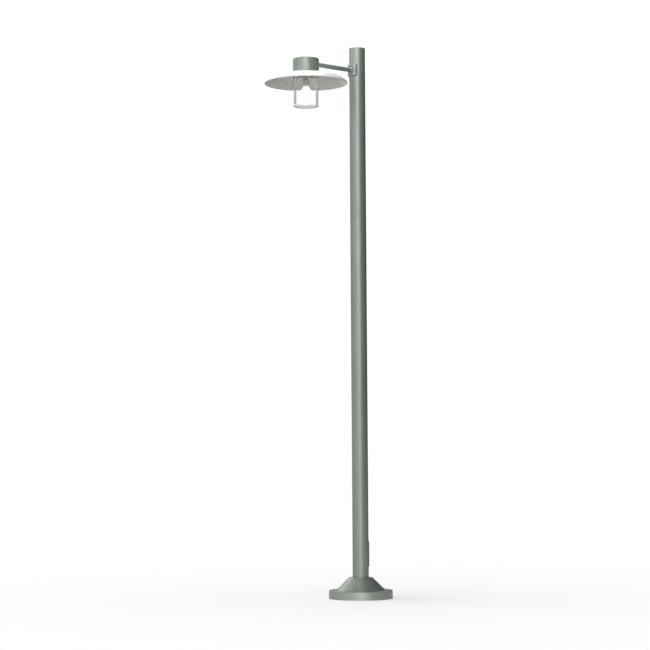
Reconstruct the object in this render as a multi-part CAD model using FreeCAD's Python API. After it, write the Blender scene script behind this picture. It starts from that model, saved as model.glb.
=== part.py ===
import FreeCAD, Part
import math
import os
from FreeCAD import Vector

# A two-metre street lamp post: a round steel post on an anchor plate under a conical cover, a side
# arm near the top, and a hanging lantern of cap, white shade, clear glass and lamp.
# Millimetres. The origin is on the post's axis at ground level, +Z is up, the arm points along -Y
# and the service door faces +Y.

os.makedirs("parts", exist_ok=True)

UP = Vector(0, 0, 1)
DOWN = Vector(0, 0, -1)
FRONT = Vector(0, -1, 0)
REAR = Vector(0, 1, 0)

# ---- driving dimensions ------------------------------------------------------------------------
POST_R = 30.0
POST_WALL = 3.0
POST_TOP = 2061.0
PLATE_R = 100.0
PLATE_T = 10.0
ANCHOR_CIRCLE_R = 75.0
ANCHOR_HOLE_R = 7.0
CABLE_ENTRY_R = 20.0
SPIGOT_TOP = 16.0

COVER_FOOT_R = 119.2
COVER_RIM_R = 117.8
COVER_RIM_Z = 31.0
CONE_FOOT_R = 91.0
CONE_TOP_R = 43.5
CONE_TOP_Z = 78.0
COVER_BORE_R = 31.0
COVER_WALL = 4.0
SET_SCREW_Z = 62.0
SET_SCREW_COUNT = 6
SET_SCREW_FIRST_DEG = 41.0
SEAL_W = 3.0
SEAL_H = 3.0
SEAL_LOW = 73.0

DOOR_LOW = 116.0
DOOR_HIGH = 211.0
DOOR_HALF_W = 24.8
DOOR_OUTER_R = 32.5
DOOR_INNER_R = 30.5
OPENING_HALF_W = 17.0
OPENING_EDGE = 5.5
DOOR_SCREW_INSET = 14.0
DOOR_SCREW_LENGTH = 6.2

ARM_Z = 1976.0
ARM_R = 8.5
ARM_BORE_R = 6.0
ARM_SPIGOT_R = 7.5
LAMP_Y = -250.0
BRACKET_HALF_W = 23.5
BRACKET_FACE = 34.0
BRACKET_HALF_H = 22.3
BRACKET_CORNER_R = 14.5
BRACKET_SCREW_ANGLE = 31.5
BRACKET_SEAT = 33.0
COUNTERBORE_R = 6.6
M5_R = 2.5
RIVET_NUT_R = 3.5

CAP_TOP_Z = 1992.0
CAP_BOTTOM_Z = 1935.0
CAP_TOP_R = 47.9
CAP_BOTTOM_R = 48.4
CAP_WALL = 3.5
CAP_ROOF = 3.0
CAP_COLLAR_R = 38.6
CAP_COLLAR_H = 16.0

SHADE_RIM_R = 154.4
SHADE_RIM_Z = 1900.0
SHADE_RISE = 34.0
SHADE_LAND_R = 52.0
SHADE_HOLE_R = 39.5
SHADE_T = 2.0
SHADE_BEND_R = 59.0
SHADE_ROOF_DEG = 6.0

GLASS_R = 46.2
GLASS_WALL = 6.0
GLASS_BOTTOM_Z = 1813.0
GLASS_SHOULDER_Z = 1924.0
GLASS_NECK_R = 38.0
GLASS_NECK_WALL = 4.0
GLASS_NECK_TOP_Z = 1947.0

HOLDER_R = 13.2
HOLDER_LOW = 1891.0
HOLDER_HIGH = 1915.5
FLUTE_COUNT = 8
FLUTE_R = 1.7
FLUTE_FIRST_DEG = 5.0
BULB_R = 22.5
BULB_CENTRE_Z = 1859.5
BULB_NECK_Z = 1888.0
CABLE_R = 3.75

# ---- derived places ----------------------------------------------------------------------------
POST_BORE_R = POST_R - POST_WALL
CAP_CEILING_Z = CAP_TOP_Z - CAP_ROOF
SHADE_TOP_Z = SHADE_RIM_Z + SHADE_RISE
SHADE_LAND_Z = SHADE_TOP_Z - SHADE_T
CLAMP_LOW_Z = GLASS_SHOULDER_Z + 2.0
DOOR_SCREW_HEIGHTS = (DOOR_LOW + DOOR_SCREW_INSET, DOOR_HIGH - DOOR_SCREW_INSET)
SPIGOT_INSET = OPENING_EDGE + 1.8
SPIGOT_HALF_W = OPENING_HALF_W - 1.8

BOX_LOW = 138.0
BOX_HIGH = 200.0
BOX_HALF_W = 16.0
BOX_BACK_Y = -18.0
BOX_SPLIT_Y = 0.0
BOX_FRONT_Y = 14.0
BOX_WALL = 2.0
BOX_SCREWS = ((-12.0, 142.0), (12.0, 196.0))
FUSE_Z = 182.0
SUPPLY_GLAND = (7.0, -9.0)
CABLE_START_Y = -8.0


# ---- helpers -----------------------------------------------------------------------------------
def upright(radius, low, high, y=0.0, x=0.0):
    """Solid cylinder on a vertical axis."""
    return Part.makeCylinder(radius, high - low, Vector(x, y, low))


def ring(outer, inner, low, high, y=0.0, x=0.0):
    """Flat ring or tube on a vertical axis."""
    return upright(outer, low, high, y, x).cut(upright(inner, low, high, y, x))


def rod(radius, start, direction, length):
    """Solid cylinder from a point along a direction."""
    return Part.makeCylinder(radius, length, start, direction)


def block(x_low, x_high, y_low, y_high, z_low, z_high):
    """Rectangular solid between two corners."""
    return Part.makeBox(x_high - x_low, y_high - y_low, z_high - z_low, Vector(x_low, y_low, z_low))


def rounded_path(corners, radii, closed):
    """Wire of straight runs with a tangent arc of the given radius at each corner."""
    count = len(corners)
    starts = []
    ends = []
    arcs = []
    for i, corner in enumerate(corners):
        turns = closed or 0 < i < count - 1
        if not turns or radii[i] == 0.0:
            starts.append(corner)
            ends.append(corner)
            arcs.append(None)
            continue
        back = (corners[i - 1] - corner).normalize()
        ahead = (corners[(i + 1) % count] - corner).normalize()
        half = back.getAngle(ahead) / 2.0
        setback = radii[i] / math.tan(half)
        middle = (back + ahead).normalize() * (radii[i] / math.sin(half) - radii[i])
        starts.append(corner + back * setback)
        ends.append(corner + ahead * setback)
        arcs.append(Part.Arc(starts[i], corner + middle, ends[i]).toShape())
    edges = []
    for i in range(count):
        if arcs[i]:
            edges.append(arcs[i])
        following = (i + 1) % count
        is_run = closed or i < count - 1
        if is_run and (starts[following] - ends[i]).Length > 1e-6:
            edges.append(Part.LineSegment(ends[i], starts[following]).toShape())
    return Part.Wire(edges)


def turned(profile, y=0.0):
    """Solid of revolution on a vertical axis from (radius, height, corner rounding) points."""
    corners = [Vector(point[0], 0, point[1]) for point in profile]
    radii = [point[2] if len(point) > 2 else 0.0 for point in profile]
    solid = Part.Face(rounded_path(corners, radii, True)).revolve(Vector(), UP, 360)
    solid.translate(Vector(0, y, 0))
    return solid


def hexagon(across_flats, height, flat_down=False):
    """Hexagonal prism standing on the origin."""
    corner_r = across_flats / math.sqrt(3.0)
    shift = 0.0 if flat_down else 30.0
    corners = [Vector(corner_r * math.cos(math.radians(60 * i + shift)),
                      corner_r * math.sin(math.radians(60 * i + shift)), 0) for i in range(7)]
    return Part.Face(Part.makePolygon(corners)).extrude(UP * height)


def placed(shape, origin, direction):
    """Shape built on the origin along +Z, moved to a point and turned to a direction."""
    moved = shape.copy()
    moved.Placement = FreeCAD.Placement(origin, FreeCAD.Rotation(UP, direction))
    return moved


def heading(degrees):
    """Level direction, turned from the arm's direction about the vertical."""
    angle = math.radians(degrees)
    return Vector(math.sin(angle), -math.cos(angle), 0)


def lamp_angles(first):
    """Three equal places round the lantern's axis, as (x, y) directions."""
    turns = [math.radians(first + 120 * i) for i in range(3)]
    return [(math.cos(turn), math.sin(turn)) for turn in turns]


def nut(across_flats, bore_r, height):
    """Hexagon nut with a chamfered rim, standing on the origin."""
    corner_r = across_flats / math.sqrt(3.0)
    rim = turned([(0, 0), (corner_r - 0.5, 0), (corner_r, 0.4), (corner_r, height - 0.4),
                  (corner_r - 0.5, height), (0, height)])
    return hexagon(across_flats, height).common(rim).cut(upright(bore_r, 0, height))


def pan_screw(head_r, head_h, shank_r, shank_l):
    """Screw with a domed, slotted head above the origin and its shank below."""
    head = turned([(0, 0), (head_r, 0), (head_r, head_h, 0.6 * head_h), (0, head_h)])
    slot = block(-head_r, head_r, -0.35, 0.35, 0.6 * head_h, head_h)
    return head.cut(slot).fuse(upright(shank_r, -shank_l, 0))


def export(name, shape):
    shape.exportStep("parts/" + name + ".step")


# ---- post and anchor plate -----------------------------------------------------------------------
def rear_prism(half_width, low, high, corner_r):
    """Upright rounded rectangle pushed through the post's rear wall."""
    corners = [Vector(-half_width, 0, low), Vector(half_width, 0, low),
               Vector(half_width, 0, high), Vector(-half_width, 0, high)]
    return Part.Face(rounded_path(corners, [corner_r] * 4, True)).extrude(REAR * 60)


def door_opening():
    return rear_prism(OPENING_HALF_W, DOOR_LOW + OPENING_EDGE, DOOR_HIGH - OPENING_EDGE, 6.0)


def make_base_plate():
    """Round plate with a spigot that centres the post, and a cable entry through both."""
    spigot_r = POST_BORE_R - 0.1
    plate = turned([(CABLE_ENTRY_R, 0), (PLATE_R, 0), (PLATE_R, PLATE_T, 1.5), (spigot_r, PLATE_T),
                    (spigot_r, SPIGOT_TOP, 1.0), (CABLE_ENTRY_R, SPIGOT_TOP)])
    for i in range(4):
        place = heading(45 + 90 * i) * ANCHOR_CIRCLE_R
        plate = plate.cut(upright(ANCHOR_HOLE_R, 0, PLATE_T, place.y, place.x))
    return plate


def make_post_tube():
    tube = turned([(POST_BORE_R, PLATE_T), (POST_R, PLATE_T), (POST_R, POST_TOP, 0.8),
                   (POST_BORE_R, POST_TOP)])
    tube = tube.cut(door_opening())
    tube = tube.cut(rod(9.0, Vector(0, -20, ARM_Z), FRONT, 20))
    for side in (-1, 1):
        direction = heading(side * BRACKET_SCREW_ANGLE)
        tube = tube.cut(rod(RIVET_NUT_R, direction * 20 + UP * ARM_Z, direction, 20))
    return tube


def make_base_weld():
    size = 5.0
    return turned([(POST_R, PLATE_T), (POST_R + size, PLATE_T), (POST_R, PLATE_T + size)])


def make_post_plug():
    top = POST_TOP - 1.5
    skirt = 10.0
    return turned([(0, top - 3), (POST_BORE_R - 2.5, top - 3), (POST_BORE_R - 2.5, top - skirt),
                   (POST_BORE_R, top - skirt), (POST_BORE_R, top, 1.0), (0, top)])


# ---- base cover ----------------------------------------------------------------------------------
def set_screw_directions():
    step = 360.0 / SET_SCREW_COUNT
    return [heading(SET_SCREW_FIRST_DEG + step * i) for i in range(SET_SCREW_COUNT)]


def make_base_cover():
    lean = COVER_WALL * math.sqrt(2.0)
    roof = COVER_RIM_Z - COVER_WALL
    cone_drop = COVER_WALL * (math.sqrt(2.0) - 1.0)
    bore_low = CONE_TOP_Z - 8.0
    groove_r = POST_R + 0.4 + SEAL_W
    shell = turned([
        (COVER_FOOT_R, 0), (COVER_RIM_R, COVER_RIM_Z, 2.0), (CONE_FOOT_R, COVER_RIM_Z, 1.0),
        (CONE_TOP_R, CONE_TOP_Z, 1.0), (COVER_BORE_R, CONE_TOP_Z, 0.8),
        (COVER_BORE_R, SEAL_LOW + SEAL_H), (groove_r, SEAL_LOW + SEAL_H), (groove_r, SEAL_LOW),
        (COVER_BORE_R, SEAL_LOW), (COVER_BORE_R, bore_low),
        (CONE_TOP_R + CONE_TOP_Z - bore_low - lean, bore_low),
        (CONE_FOOT_R - cone_drop, roof, 2.0), (COVER_RIM_R - COVER_WALL, roof, 2.0),
        (COVER_FOOT_R - COVER_WALL, 0)])
    inside_wall = turned([(0, COVER_RIM_Z), (CONE_FOOT_R - 1, COVER_RIM_Z), (CONE_TOP_R - 1, CONE_TOP_Z - 1),
                          (0, CONE_TOP_Z - 1)])
    for direction in set_screw_directions():
        boss = rod(7.0, direction * COVER_BORE_R + UP * SET_SCREW_Z, direction, 30)
        shell = shell.fuse(boss.common(inside_wall))
    for direction in set_screw_directions():
        shell = shell.cut(rod(3.0, direction * 20 + UP * SET_SCREW_Z, direction, 60))
    return shell.cut(upright(COVER_BORE_R, 0, CONE_TOP_Z)).removeSplitter()


def make_cover_seal():
    return ring(POST_R + 0.4 + SEAL_W, POST_R + 0.4, SEAL_LOW, SEAL_LOW + SEAL_H)


def make_cover_set_screws():
    screws = []
    for direction in set_screw_directions():
        grub = upright(2.9, 0, 16).cut(hexagon(3.0, 3.0).translated(UP * 13))
        screws.append(placed(grub, direction * (POST_R + 0.4) + UP * SET_SCREW_Z, direction))
    return Part.makeCompound(screws)


# ---- service door --------------------------------------------------------------------------------
def between_radii(inner, outer):
    """Tube-shaped space round the post over the door's height."""
    return ring(outer, inner, DOOR_LOW - 10, DOOR_HIGH + 10)


def make_door():
    outline = rear_prism(DOOR_HALF_W, DOOR_LOW, DOOR_HIGH, 8.0)
    plate = outline.common(between_radii(DOOR_INNER_R, DOOR_OUTER_R))
    rim_edges = [edge for edge in plate.Edges
                 if all(abs(math.hypot(v.X, v.Y) - DOOR_OUTER_R) < 0.01 for v in edge.Vertexes)]
    plate = plate.makeChamfer(1.4, rim_edges)
    spigot = rear_prism(SPIGOT_HALF_W, DOOR_LOW + SPIGOT_INSET, DOOR_HIGH - SPIGOT_INSET, 4.2)
    door = plate.fuse(spigot.common(between_radii(POST_BORE_R + 0.6, DOOR_INNER_R + 0.2)))
    for height in DOOR_SCREW_HEIGHTS:
        door = door.cut(rod(2.9, Vector(0, 20, height), REAR, 20))
        door = door.cut(rod(5.0, Vector(0, 29.8, height), REAR, 20))
    return door.removeSplitter()


def make_door_gasket():
    edge = OPENING_EDGE + 0.4
    outer = rear_prism(OPENING_HALF_W - 0.4, DOOR_LOW + edge, DOOR_HIGH - edge, 5.6)
    inner = rear_prism(SPIGOT_HALF_W, DOOR_LOW + SPIGOT_INSET, DOOR_HIGH - SPIGOT_INSET, 4.2)
    return outer.cut(inner).common(between_radii(POST_BORE_R + 0.6, DOOR_INNER_R))


def make_door_screw(height):
    socket = hexagon(3.0, 1.6).translated(Vector(0, 0, 0.7))
    head = turned([(0, 0), (4.6, 0), (4.6, 2.3, 0.8), (0, 2.3)]).cut(socket)
    screw = head.fuse(upright(2.5, -DOOR_SCREW_LENGTH, 0))
    return placed(screw, Vector(0, 30.0, height), REAR)


def make_door_lugs():
    lugs = []
    for height, outward in zip(DOOR_SCREW_HEIGHTS, (-1, 1)):
        near = height - outward * 7.0
        far = height + outward * 21.0
        plate = block(-6, 6, 24, 28, min(near, far), max(near, far))
        plate = plate.common(upright(POST_BORE_R, DOOR_LOW - 20, DOOR_HIGH + 20))
        lugs.append(plate.cut(rod(2.9, Vector(0, 20, height), REAR, 10)))
    return Part.makeCompound(lugs)


# ---- terminal compartment behind the door ----------------------------------------------------------
def make_terminal_carrier():
    front = BOX_BACK_Y
    strip = block(-13.5, 13.5, front - 2, front, DOOR_LOW + 2, DOOR_HIGH + 4)
    feet = [block(-6, 6, -28, front - 1, low, low + 5) for low in (DOOR_LOW + 2, DOOR_HIGH - 1)]
    inside = upright(POST_BORE_R, DOOR_LOW - 10, DOOR_HIGH + 10)
    carrier = strip.fuse([foot.common(inside) for foot in feet])
    return carrier.cut(rod(3.0, Vector(-9, front - 2, 129), REAR, 2)).removeSplitter()


def box_post(x, z, y_low, y_high):
    return rod(3.5, Vector(x, y_low, z), REAR, y_high - y_low)


def make_terminal_box():
    outer = block(-BOX_HALF_W, BOX_HALF_W, BOX_BACK_Y, BOX_SPLIT_Y, BOX_LOW, BOX_HIGH)
    inner_half = BOX_HALF_W - BOX_WALL
    inner = block(-inner_half, inner_half, BOX_BACK_Y + BOX_WALL, BOX_SPLIT_Y, BOX_LOW + BOX_WALL,
                  BOX_HIGH - BOX_WALL)
    box = outer.cut(inner)
    for x, z in BOX_SCREWS:
        post = box_post(x, z, BOX_BACK_Y + 1, BOX_SPLIT_Y).common(outer)
        box = box.fuse(post).cut(rod(1.5, Vector(x, BOX_BACK_Y + 6, z), REAR, 20))
    gland_x, gland_y = SUPPLY_GLAND
    box = box.cut(upright(5.0, BOX_LOW - 1, BOX_LOW + 3, gland_y, gland_x))
    return box.cut(upright(5.0, BOX_HIGH - 3, BOX_HIGH + 1, CABLE_START_Y)).removeSplitter()


def make_terminal_cover():
    outer = block(-BOX_HALF_W, BOX_HALF_W, BOX_SPLIT_Y, BOX_FRONT_Y, BOX_LOW, BOX_HIGH)
    inner_half = BOX_HALF_W - BOX_WALL
    inner = block(-inner_half, inner_half, BOX_SPLIT_Y, BOX_FRONT_Y - BOX_WALL, BOX_LOW + BOX_WALL,
                  BOX_HIGH - BOX_WALL)
    cover = outer.cut(inner)
    for x, z in BOX_SCREWS:
        post = box_post(x, z, BOX_SPLIT_Y, BOX_FRONT_Y - 1).common(outer)
        cover = cover.fuse(post).cut(rod(1.5, Vector(x, BOX_SPLIT_Y - 1, z), REAR, 20))
    return cover.cut(rod(8.0, Vector(0, 5, FUSE_Z), REAR, 20)).removeSplitter()


def make_terminal_cover_screws():
    screw = pan_screw(2.8, 1.6, 1.4, 22)
    return Part.makeCompound([placed(screw, Vector(x, BOX_FRONT_Y, z), REAR) for x, z in BOX_SCREWS])


TERMINAL_PITCH = 8.5
TERMINAL_PLACES = (-TERMINAL_PITCH, 0.0, TERMINAL_PITCH)


def make_terminal_block():
    body = block(-13, 13, BOX_BACK_Y + BOX_WALL, -2, 149, 169)
    for x in TERMINAL_PLACES:
        body = body.cut(upright(3.0, 149, 169, -9, x))
        body = body.cut(rod(2.4, Vector(x, -9, 159), REAR, 10))
    return body


def make_terminal_clamps():
    clamps = []
    for x in TERMINAL_PLACES:
        sleeve = ring(2.9, 1.9, 150, 168, -9, x)
        screw = rod(1.6, Vector(x, -6.5, 159), REAR, 4)
        clamps.append(sleeve)
        clamps.append(screw)
    return Part.makeCompound(clamps)


def make_fuse_base():
    body = rod(8.0, Vector(0, BOX_BACK_Y + BOX_WALL, FUSE_Z), REAR, 30)
    return body.cut(rod(5.4, Vector(0, -14, FUSE_Z), REAR, 40))


def make_fuse_cap():
    knob = turned([(0, 0), (9.4, 0), (9.4, 4.4, 1.2), (0, 4.4)])
    knob = knob.cut(block(-7, 7, -0.8, 0.8, 3.0, 4.4))
    cap = knob.fuse(upright(5.0, -12, 0)).cut(upright(2.6, -12, -2))
    return placed(cap, Vector(0, BOX_FRONT_Y + 0.4, FUSE_Z), REAR)


def make_fuse_link():
    return rod(2.6, Vector(0, -10.5, FUSE_Z), REAR, 20)


def make_earth_stud():
    return rod(3.0, Vector(-9, BOX_BACK_Y - 2, 129), REAR, 16)


def make_earth_nuts():
    nuts = [placed(nut(10.0, 3.0, 4.0), Vector(-9, y, 129), REAR) for y in (BOX_BACK_Y, BOX_BACK_Y + 6)]
    washer = rod(6.0, Vector(-9, BOX_BACK_Y + 4.5, 129), REAR, 1.2).cut(
        rod(3.0, Vector(-9, BOX_BACK_Y + 4, 129), REAR, 3))
    return Part.makeCompound(nuts + [washer])


def make_gland(bore_r):
    """Cable gland pointing up: hexagon on the wall, domed nut above, spigot through the wall."""
    body = hexagon(15.0, 5.0).fuse(turned([(0, 5), (6.8, 5), (6.8, 12, 2.5), (0, 12)]))
    return body.fuse(upright(5.0, -4, 0)).cut(upright(bore_r, -4, 12)).removeSplitter()


def make_supply_gland():
    return placed(make_gland(4.0), Vector(SUPPLY_GLAND[0], SUPPLY_GLAND[1], BOX_LOW), DOWN)


def make_head_gland():
    return make_gland(CABLE_R + 0.1).translated(Vector(0, CABLE_START_Y, BOX_HIGH))


# ---- cable from the terminal box to the lantern ------------------------------------------------------
def make_head_cable():
    lay_y = 15.0
    corners = [Vector(0, CABLE_START_Y, 192), Vector(0, CABLE_START_Y, 250), Vector(0, lay_y, 350),
               Vector(0, lay_y, ARM_Z), Vector(0, LAMP_Y + 12, ARM_Z)]
    radii = [0.0, 200.0, 200.0, 37.0, 0.0]
    path = rounded_path(corners, radii, False)
    section = Part.Wire(Part.makeCircle(CABLE_R, corners[0], UP))
    cable = path.makePipeShell([section], True, False)
    print("head cable: length %.0f mm, bend radii" % path.Length, radii[1:-1])
    print("head cable: volume over section times length %.5f"
          % (cable.Volume / (math.pi * CABLE_R ** 2 * path.Length)))
    return cable


# ---- arm and its bracket ---------------------------------------------------------------------------
def make_arm_bracket():
    face = -BRACKET_FACE
    corners = [Vector(-BRACKET_HALF_W, -15, 0), Vector(-BRACKET_HALF_W, face, 0),
               Vector(BRACKET_HALF_W, face, 0), Vector(BRACKET_HALF_W, -15, 0)]
    radii = [0.0, BRACKET_CORNER_R, BRACKET_CORNER_R, 0.0]
    plan = Part.Face(rounded_path(corners, radii, True))
    body = plan.extrude(UP * 2 * BRACKET_HALF_H)
    outer_edges = [edge for edge in body.Edges
                   if abs(edge.CenterOfMass.z - BRACKET_HALF_H) > BRACKET_HALF_H - 0.1
                   and edge.CenterOfMass.y < -15.1]
    body = body.makeFillet(1.8, outer_edges)
    body.translate(UP * (ARM_Z - BRACKET_HALF_H))
    body = body.cut(upright(POST_R + 1.0, ARM_Z - 30, ARM_Z + 30))
    body = body.cut(rod(ARM_R, Vector(0, 0, ARM_Z), FRONT, 60))
    for side in (-1, 1):
        direction = heading(side * BRACKET_SCREW_ANGLE)
        body = body.cut(rod(M5_R + 0.3, UP * ARM_Z, direction, 60))
        body = body.cut(rod(COUNTERBORE_R, direction * BRACKET_SEAT + UP * ARM_Z, direction, 20))
    return body.removeSplitter()


def make_bracket_pad():
    half_w = BRACKET_HALF_W - 1.0
    low = ARM_Z - BRACKET_HALF_H + 1.0
    high = ARM_Z + BRACKET_HALF_H - 1.0
    pad = ring(POST_R + 1.0, POST_R, low, high).common(block(-half_w, half_w, -40, 0, low, high))
    pad = pad.cut(rod(9.0, Vector(0, 0, ARM_Z), FRONT, 60))
    for side in (-1, 1):
        direction = heading(side * BRACKET_SCREW_ANGLE)
        pad = pad.cut(rod(RIVET_NUT_R + 1.8, UP * ARM_Z, direction, 60))
    return pad


def make_bracket_screws():
    head = turned([(0, 0), (4.75, 0), (4.75, 0.8), (4.0, 2.0, 1.0), (2.5, 2.75, 0.9), (0, 2.75)])
    head = head.cut(hexagon(3.0, 2.0).translated(UP * 1.2))
    screw = head.fuse(upright(M5_R, -14, 0))
    places = [heading(side * BRACKET_SCREW_ANGLE) for side in (-1, 1)]
    return Part.makeCompound([placed(screw, way * BRACKET_SEAT + UP * ARM_Z, way) for way in places])


def make_rivet_nuts():
    flange_r = RIVET_NUT_R + 1.1
    insert = turned([(M5_R, 0), (RIVET_NUT_R, 0), (RIVET_NUT_R, 12), (flange_r, 12), (flange_r, 12.4),
                     (M5_R, 12.4)])
    places = [heading(side * BRACKET_SCREW_ANGLE) for side in (-1, 1)]
    return Part.makeCompound([placed(insert, way * 18.0 + UP * ARM_Z, way) for way in places])


def make_arm_tube():
    start = -(POST_R + 1.0)
    shoulder = LAMP_Y + 45.0
    tip = LAMP_Y + 29.0
    tube = rod(ARM_R, Vector(0, start, ARM_Z), FRONT, start - shoulder)
    tube = tube.fuse(rod(ARM_SPIGOT_R, Vector(0, shoulder, ARM_Z), FRONT, shoulder - tip))
    return tube.cut(rod(ARM_BORE_R, Vector(0, start, ARM_Z), FRONT, start - tip))


def make_arm_weld():
    bead = turned([(ARM_R, 0), (ARM_R + 3, 0), (ARM_R + 1.2, 1.2), (ARM_R, 3)])
    return placed(bead, Vector(0, -BRACKET_FACE, ARM_Z), FRONT)


def make_arm_grommet():
    start = Vector(0, -25.5, ARM_Z)
    return rod(8.6, start, FRONT, 4.1).cut(rod(CABLE_R + 0.2, start, FRONT, 4.1))


def make_arm_washer():
    start = Vector(0, LAMP_Y + 38.0, ARM_Z)
    return rod(9.6, start, FRONT, 1.5).cut(rod(ARM_SPIGOT_R, start, FRONT, 1.5))


def make_arm_nut():
    body = hexagon(19.0, 5.0, True).cut(upright(ARM_SPIGOT_R, 0, 5))
    return placed(body, Vector(0, LAMP_Y + 36.5, ARM_Z), FRONT)


# ---- lantern cap -------------------------------------------------------------------------------------
BRIDGE_Z = 1953.0
BRIDGE_T = 2.0
BRIDGE_SCREW_R = 30.0
SHADE_SCREW_R = 43.0
CAP_TERMINAL_LOW = ARM_Z - 9.0


def make_lamp_cap():
    collar_top = CAP_BOTTOM_Z + CAP_COLLAR_H
    wall_r = CAP_TOP_R - CAP_WALL
    shell = turned([
        (CAP_COLLAR_R, CAP_BOTTOM_Z, 0.6), (CAP_BOTTOM_R, CAP_BOTTOM_Z, 0.6), (CAP_TOP_R, CAP_TOP_Z, 3.0),
        (0, CAP_TOP_Z), (0, CAP_CEILING_Z), (wall_r, CAP_CEILING_Z, 1.5), (wall_r, collar_top),
        (CAP_COLLAR_R, collar_top)])
    collar_span = block(-12, 12, 38, 46, ARM_Z - 11, CAP_CEILING_Z + 1)
    extras = [collar_span.common(upright(wall_r + 1, CAP_BOTTOM_Z, CAP_TOP_Z - 1))]
    extras.append(block(-6, 6, -6, 6, CAP_CEILING_Z - 3, CAP_CEILING_Z + 1))
    for x, y in lamp_angles(-90):
        boss = upright(4.5, BRIDGE_Z + BRIDGE_T, CAP_CEILING_Z + 1, BRIDGE_SCREW_R * y, BRIDGE_SCREW_R * x)
        extras.append(boss)
    cap = shell.fuse(extras)
    for x, y in lamp_angles(-90):
        hole = upright(1.5, BRIDGE_Z, CAP_CEILING_Z - 4, BRIDGE_SCREW_R * y, BRIDGE_SCREW_R * x)
        cap = cap.cut(hole)
    for x, y in lamp_angles(90):
        hole = upright(1.5, CAP_BOTTOM_Z - 1, collar_top - 3, SHADE_SCREW_R * y, SHADE_SCREW_R * x)
        cap = cap.cut(hole)
    cap = cap.cut(rod(ARM_SPIGOT_R, Vector(0, 30, ARM_Z), REAR, 30))
    cap = cap.cut(rod(ARM_R, Vector(0, 45, ARM_Z), REAR, 30))
    cap = cap.removeSplitter()
    cap.translate(Vector(0, LAMP_Y, 0))
    return cap


def make_cap_gasket():
    gasket = ring(CAP_BOTTOM_R - 0.9, SHADE_HOLE_R, SHADE_TOP_Z, CAP_BOTTOM_Z)
    for x, y in lamp_angles(90):
        gasket = gasket.cut(upright(1.7, SHADE_TOP_Z, CAP_BOTTOM_Z, SHADE_SCREW_R * y, SHADE_SCREW_R * x))
    return gasket.translated(Vector(0, LAMP_Y, 0))


def make_holder_bridge():
    plate = ring(36, 5.1, BRIDGE_Z, BRIDGE_Z + BRIDGE_T)
    for x, y in lamp_angles(-90):
        hole = upright(1.7, BRIDGE_Z, BRIDGE_Z + BRIDGE_T, BRIDGE_SCREW_R * y, BRIDGE_SCREW_R * x)
        plate = plate.cut(hole)
    return plate.translated(Vector(0, LAMP_Y, 0))


def make_bridge_screws():
    screw = pan_screw(2.8, 2.0, 1.4, 12)
    places = [Vector(BRIDGE_SCREW_R * x, LAMP_Y + BRIDGE_SCREW_R * y, BRIDGE_Z) for x, y in lamp_angles(-90)]
    return Part.makeCompound([placed(screw, place, DOWN) for place in places])


def make_cap_terminal():
    body = block(-13, 13, -12, 12, CAP_TERMINAL_LOW, CAP_CEILING_Z - 3)
    for x in TERMINAL_PLACES:
        body = body.cut(rod(2.5, Vector(x, -12, ARM_Z), REAR, 24))
    return body.translated(Vector(0, LAMP_Y, 0))


def make_cap_terminal_clamps():
    clamps = [rod(2.4, Vector(x, LAMP_Y - 10, ARM_Z), REAR, 20) for x in TERMINAL_PLACES]
    return Part.makeCompound(clamps)


# ---- shade and its clamp -----------------------------------------------------------------------------
def make_shade():
    """Spun dish: flat land at the middle, a shallow roof, and a round bend down to the rim."""
    roof = math.radians(SHADE_ROOF_DEG)
    along = Vector(math.cos(roof), 0, -math.sin(roof))
    outward = Vector(math.sin(roof), 0, math.cos(roof))
    land = Vector(SHADE_LAND_R, 0, SHADE_TOP_Z)
    rim = Vector(SHADE_RIM_R, 0, SHADE_RIM_Z)
    level = land - outward * SHADE_BEND_R
    reach = (rim - level).dot(along)
    offset_squared = (rim - level).dot(rim - level) - reach ** 2
    centre = level + along * (reach - math.sqrt(SHADE_BEND_R ** 2 - offset_squared))
    drop = centre.z - SHADE_RIM_Z

    def bend(radius):
        """Start, middle and rim end of the bend at one face of the sheet."""
        finish = Vector(centre.x + math.sqrt(radius ** 2 - drop ** 2), 0, SHADE_RIM_Z)
        start = centre + outward * radius
        middle_way = ((start - centre) + (finish - centre)).normalize()
        return start, centre + middle_way * radius, finish

    top_start, top_middle, top_end = bend(SHADE_BEND_R)
    under_start, under_middle, under_end = bend(SHADE_BEND_R - SHADE_T)
    land_under = Vector(SHADE_LAND_R - SHADE_T * math.tan(roof / 2), 0, SHADE_LAND_Z)
    hole_top = Vector(SHADE_HOLE_R, 0, SHADE_TOP_Z)
    hole_under = Vector(SHADE_HOLE_R, 0, SHADE_LAND_Z)
    edges = [
        Part.LineSegment(hole_top, land), Part.LineSegment(land, top_start),
        Part.Arc(top_start, top_middle, top_end), Part.LineSegment(top_end, under_end),
        Part.Arc(under_end, under_middle, under_start), Part.LineSegment(under_start, land_under),
        Part.LineSegment(land_under, hole_under), Part.LineSegment(hole_under, hole_top)]
    shade = Part.Face(Part.Wire([edge.toShape() for edge in edges])).revolve(Vector(), UP, 360)
    for x, y in lamp_angles(90):
        shade = shade.cut(upright(1.7, SHADE_LAND_Z, SHADE_TOP_Z, SHADE_SCREW_R * y, SHADE_SCREW_R * x))
    return shade.translated(Vector(0, LAMP_Y, 0))


def make_clamp_ring():
    body = turned([(39.0, CLAMP_LOW_Z, 0.5), (47.0, CLAMP_LOW_Z, 0.5), (47.0, SHADE_LAND_Z),
                   (39.0, SHADE_LAND_Z)])
    for x, y in lamp_angles(90):
        place = (SHADE_SCREW_R * y, SHADE_SCREW_R * x)
        body = body.cut(upright(1.7, CLAMP_LOW_Z, SHADE_LAND_Z, *place))
        body = body.cut(upright(3.0, CLAMP_LOW_Z, CLAMP_LOW_Z + 2.2, *place))
    return body.translated(Vector(0, LAMP_Y, 0))


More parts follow.
